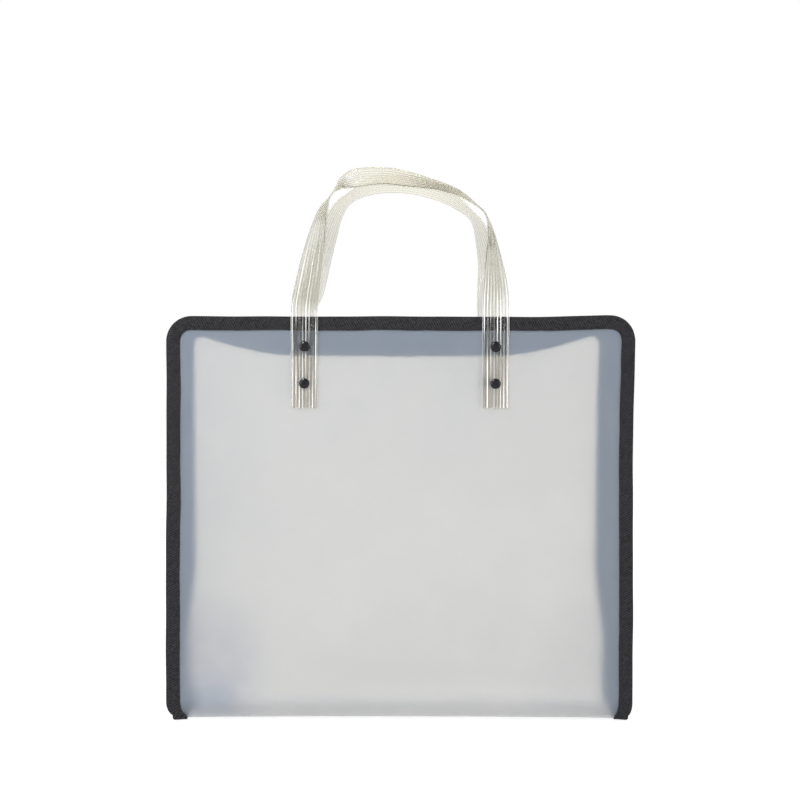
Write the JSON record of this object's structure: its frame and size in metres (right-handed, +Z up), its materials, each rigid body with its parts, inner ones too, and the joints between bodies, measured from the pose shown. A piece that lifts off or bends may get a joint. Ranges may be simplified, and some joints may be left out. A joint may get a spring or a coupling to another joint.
{
  "type": "portfolio case",
  "caption": "Frosted portfolio case with a woven edge binding, a folded-in cloth gusset closed by a zip on three sides, and two riveted clear strap handles.",
  "frame": {"origin": "middle of the case on the surface it stands on", "axes": "X along the folds, from the viewer's left to right; Y from front to rear, so the front faces -Y; Z up"},
  "size_m": [0.45, 0.0664, 0.5308],
  "materials": {
    "frosted_sheet": "frosted translucent plastic sheet, fine matt grain",
    "woven_binding": "charcoal black ribbed woven tape, stitched",
    "gusset_cloth": "dark plain weave cloth",
    "zip_teeth": "black moulded zip coil",
    "zip_slider": "black enamelled metal",
    "clear_strap": "clear soft plastic with lengthwise ribs, faint cream tint",
    "rivet_black": "glossy black domed caps"
  },
  "bodies": {
    "base": {"base_panel": "frosted_sheet", "base_binding_left": "woven_binding", "base_binding_right": "woven_binding"},
    "front_half": {"front_panel": "frosted_sheet", "front_binding": "woven_binding", "front_gusset": "gusset_cloth", "front_zip_tape": "gusset_cloth", "front_zip_teeth": "zip_teeth", "front_zip_stop_left": "zip_teeth", "front_strap_left": "clear_strap", "front_rivet_cap_left_lower": "rivet_black", "front_rivet_back_left_lower": "rivet_black", "front_rivet_cap_left_upper": "rivet_black", "front_rivet_back_left_upper": "rivet_black", "front_zip_stop_right": "zip_teeth", "front_strap_right": "clear_strap", "front_rivet_cap_right_lower": "rivet_black", "front_rivet_back_right_lower": "rivet_black", "front_rivet_cap_right_upper": "rivet_black", "front_rivet_back_right_upper": "rivet_black"},
    "rear_half": {"rear_panel": "frosted_sheet", "rear_binding": "woven_binding", "rear_gusset": "gusset_cloth", "rear_zip_tape": "gusset_cloth", "rear_zip_teeth": "zip_teeth", "rear_zip_stop_left": "zip_teeth", "rear_strap_left": "clear_strap", "rear_rivet_cap_left_lower": "rivet_black", "rear_rivet_back_left_lower": "rivet_black", "rear_rivet_cap_left_upper": "rivet_black", "rear_rivet_back_left_upper": "rivet_black", "rear_zip_stop_right": "zip_teeth", "rear_strap_right": "clear_strap", "rear_rivet_cap_right_lower": "rivet_black", "rear_rivet_back_right_lower": "rivet_black", "rear_rivet_cap_right_upper": "rivet_black", "rear_rivet_back_right_upper": "rivet_black"},
    "front_handle": {"front_handle": "clear_strap"},
    "rear_handle": {"rear_handle": "clear_strap"},
    "zip_slider_left": {"zip_slider_left": "zip_slider"},
    "zip_slider_right": {"zip_slider_right": "zip_slider"},
    "zip_pull_left": {"zip_pull_left": "zip_slider"},
    "zip_pull_right": {"zip_pull_right": "zip_slider"}
  },
  "joints": [
    {"name": "front_fold", "type": "hinge", "parent": "base", "child": "front_half", "pos_m": [0, -0.03, 0.002], "axis": [1, 0, 0], "range_deg": [0, 93]},
    {"name": "rear_fold", "type": "hinge", "parent": "base", "child": "rear_half", "pos_m": [0, 0.03, 0.002], "axis": [-1, 0, 0], "range_deg": [0, 93]},
    {"name": "front_handle_swing", "type": "hinge", "parent": "front_half", "child": "front_handle", "pos_m": [0, -0.01201, 0.3918], "axis": [1, 0, 0], "range_deg": [-2, 105], "stiffness_Nm_per_rad": 0.15},
    {"name": "rear_handle_swing", "type": "hinge", "parent": "rear_half", "child": "rear_handle", "pos_m": [0, 0.01201, 0.3918], "axis": [-1, 0, 0], "range_deg": [-2, 105], "stiffness_Nm_per_rad": 0.15},
    {"name": "zip_left_travel", "type": "slide", "parent": "rear_half", "child": "zip_slider_left", "axis": [-1, 0, 0], "range_m": [0, 0.055]},
    {"name": "zip_right_travel", "type": "slide", "parent": "rear_half", "child": "zip_slider_right", "axis": [1, 0, 0], "range_m": [0, 0.055]},
    {"name": "left_pull_tilt", "type": "hinge", "parent": "zip_slider_left", "child": "zip_pull_left", "pos_m": [-0.009, 0, 0.35484], "axis": [0, 1, 0], "range_deg": [0, 110]},
    {"name": "right_pull_tilt", "type": "hinge", "parent": "zip_slider_right", "child": "zip_pull_right", "pos_m": [0.009, 0, 0.35484], "axis": [0, -1, 0], "range_deg": [0, 110]}
  ]
}
